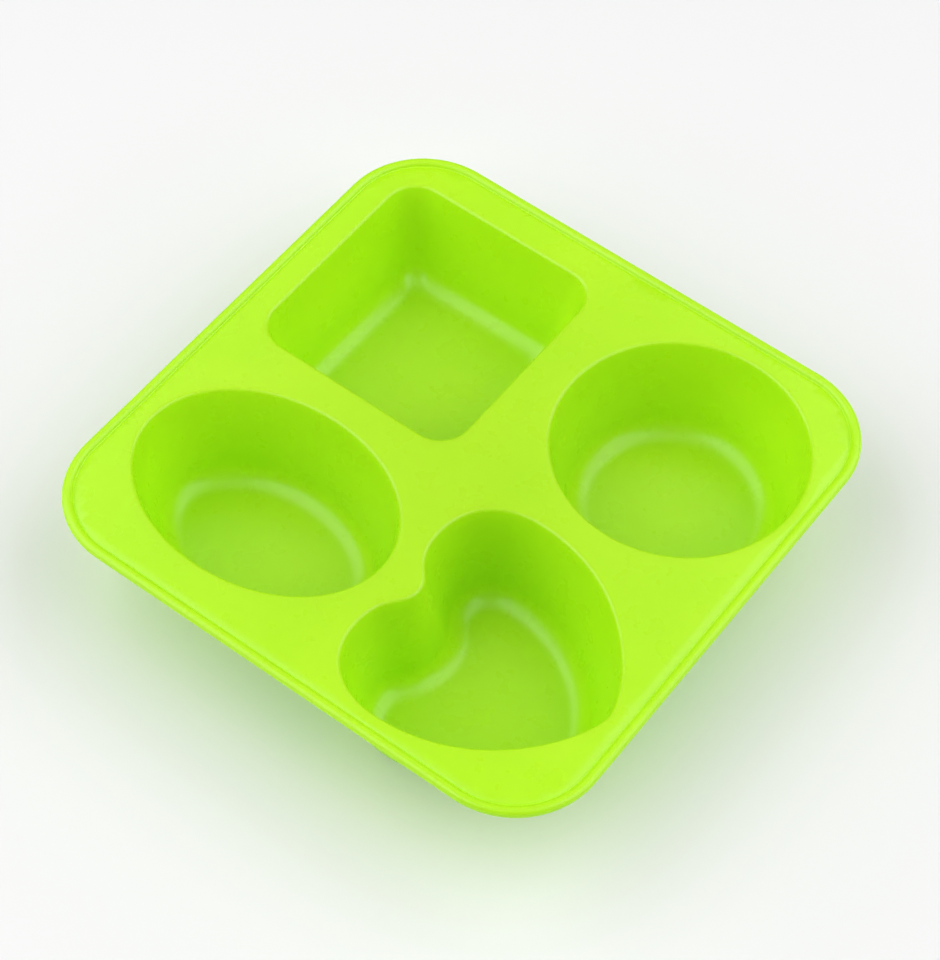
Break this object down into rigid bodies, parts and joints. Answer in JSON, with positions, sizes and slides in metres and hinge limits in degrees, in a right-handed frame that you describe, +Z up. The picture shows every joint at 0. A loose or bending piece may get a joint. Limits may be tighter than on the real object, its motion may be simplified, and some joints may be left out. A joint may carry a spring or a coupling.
{
  "type": "silicone soap mould",
  "caption": "Square lime-green silicone soap mould tray with oval, square, heart and round cups sunk in a flat deck with a raised rim bead.",
  "frame": {"origin": "centre of the tray's plan at the plane that the cups stand on", "axes": "+Z up through the cups' mouths; +X and +Y along the tray's sides, with the oval cup at -X +Y, the square cup at +X +Y, the heart cup at -X -Y with its tip towards -Y, and the round cup at +X -Y"},
  "size_m": [0.17, 0.17, 0.034],
  "materials": {
    "silicone": "satin moulded silicone, slightly translucent lime green"
  },
  "bodies": {
    "rear_half": {"deck_rear": "silicone", "rim_bead_rear": "silicone", "oval_cup_wall": "silicone", "square_cup_wall": "silicone"},
    "front_half": {"deck_front": "silicone", "rim_bead_front": "silicone", "heart_cup_wall": "silicone", "round_cup_wall": "silicone"},
    "oval_floor": {"oval_cup_floor": "silicone"},
    "square_floor": {"square_cup_floor": "silicone"},
    "heart_floor": {"heart_cup_floor": "silicone"},
    "round_floor": {"round_cup_floor": "silicone"}
  },
  "joints": [
    {"name": "tray_bend", "type": "hinge", "parent": "rear_half", "child": "front_half", "pos_m": [0, -0.00515, 0.032], "axis": [1, 0, 0], "range_deg": [-25, 25], "stiffness_Nm_per_rad": 0.08},
    {"name": "oval_push_out", "type": "slide", "parent": "rear_half", "child": "oval_floor", "axis": [0, 0, 1], "range_m": [0, 0.012], "stiffness_N_per_m": 300},
    {"name": "square_push_out", "type": "slide", "parent": "rear_half", "child": "square_floor", "axis": [0, 0, 1], "range_m": [0, 0.012], "stiffness_N_per_m": 300},
    {"name": "heart_push_out", "type": "slide", "parent": "front_half", "child": "heart_floor", "axis": [0, 0, 1], "range_m": [0, 0.012], "stiffness_N_per_m": 300},
    {"name": "round_push_out", "type": "slide", "parent": "front_half", "child": "round_floor", "axis": [0, 0, 1], "range_m": [0, 0.012], "stiffness_N_per_m": 300}
  ]
}
